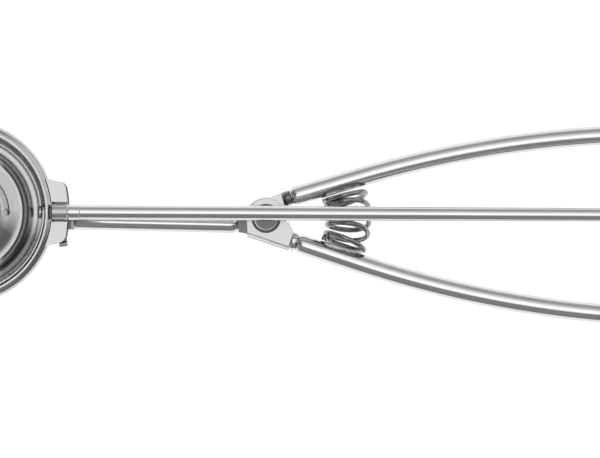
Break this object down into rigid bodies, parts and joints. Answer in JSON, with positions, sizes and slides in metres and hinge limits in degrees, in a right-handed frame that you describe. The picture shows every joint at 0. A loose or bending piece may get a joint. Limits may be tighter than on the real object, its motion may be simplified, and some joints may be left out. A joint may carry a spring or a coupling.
{
  "type": "ice cream scoop",
  "caption": "Steel ice cream scoop: round bowl with a rolled lip, geared scraper inside, centre rod, and bowed squeeze handles on a riveted pivot with a coil spring.",
  "frame": {"origin": "middle of the drive housing's flat underside, beside the bowl", "axes": "+X along the centre rod from the bowl to the handle tips, +Z out of the bowl's mouth"},
  "size_m": [0.2568, 0.0613, 0.036],
  "materials": {
    "polished_steel": "mirror-polished stainless steel",
    "handle_steel": "polished stainless steel with faint lengthwise brushing",
    "rod_steel": "drawn stainless steel",
    "satin_steel": "satin stainless steel",
    "gear_steel": "machined stainless steel",
    "spring_steel": "bright spring wire"
  },
  "bodies": {
    "frame": {"bowl": "polished_steel", "saddle_bracket": "polished_steel", "rod_socket": "satin_steel", "neck_collar": "polished_steel", "centre_rod": "rod_steel", "pivot_spacer": "satin_steel", "pivot_rivet": "satin_steel", "pivot_washer": "satin_steel", "axle_bush": "gear_steel", "pole_rivet": "satin_steel", "pole_washer": "satin_steel", "return_spring": "spring_steel"},
    "scraper": {"scraper_blade": "polished_steel", "scraper_axle": "satin_steel", "pinion": "gear_steel"},
    "upper_lever": {"lever_plate": "polished_steel", "rack_rod": "handle_steel", "rack_segment": "gear_steel", "upper_handle": "handle_steel", "upper_handle_plug": "handle_steel"},
    "lower_lever": {"clevis": "polished_steel", "clevis_collar": "satin_steel", "lower_handle": "handle_steel", "lower_handle_plug": "handle_steel"}
  },
  "joints": [
    {"name": "upper_squeeze", "type": "hinge", "parent": "frame", "child": "upper_lever", "pos_m": [0.06231, -0.00155, 0.0041], "axis": [0, 0, -1], "range_deg": [0, 8], "stiffness_Nm_per_rad": 0.6, "springref_deg": -28.65, "deforming": ["return_spring"]},
    {"name": "lower_squeeze", "type": "hinge", "parent": "frame", "child": "lower_lever", "pos_m": [0.06231, -0.00155, 0.0041], "axis": [0, 0, 1], "range_deg": [0, 8], "stiffness_Nm_per_rad": 0.6, "springref_deg": -28.65, "deforming": ["return_spring"]},
    {"name": "scraper_sweep", "type": "hinge", "parent": "frame", "child": "scraper", "pos_m": [0, 0, 0.0063], "axis": [1, 0, 0], "range_deg": [0, 165]}
  ],
  "couplings": [
    {"joint": "lower_squeeze", "follows": "upper_squeeze", "ratio": 1},
    {"joint": "scraper_sweep", "follows": "upper_squeeze", "ratio": 20.637}
  ]
}
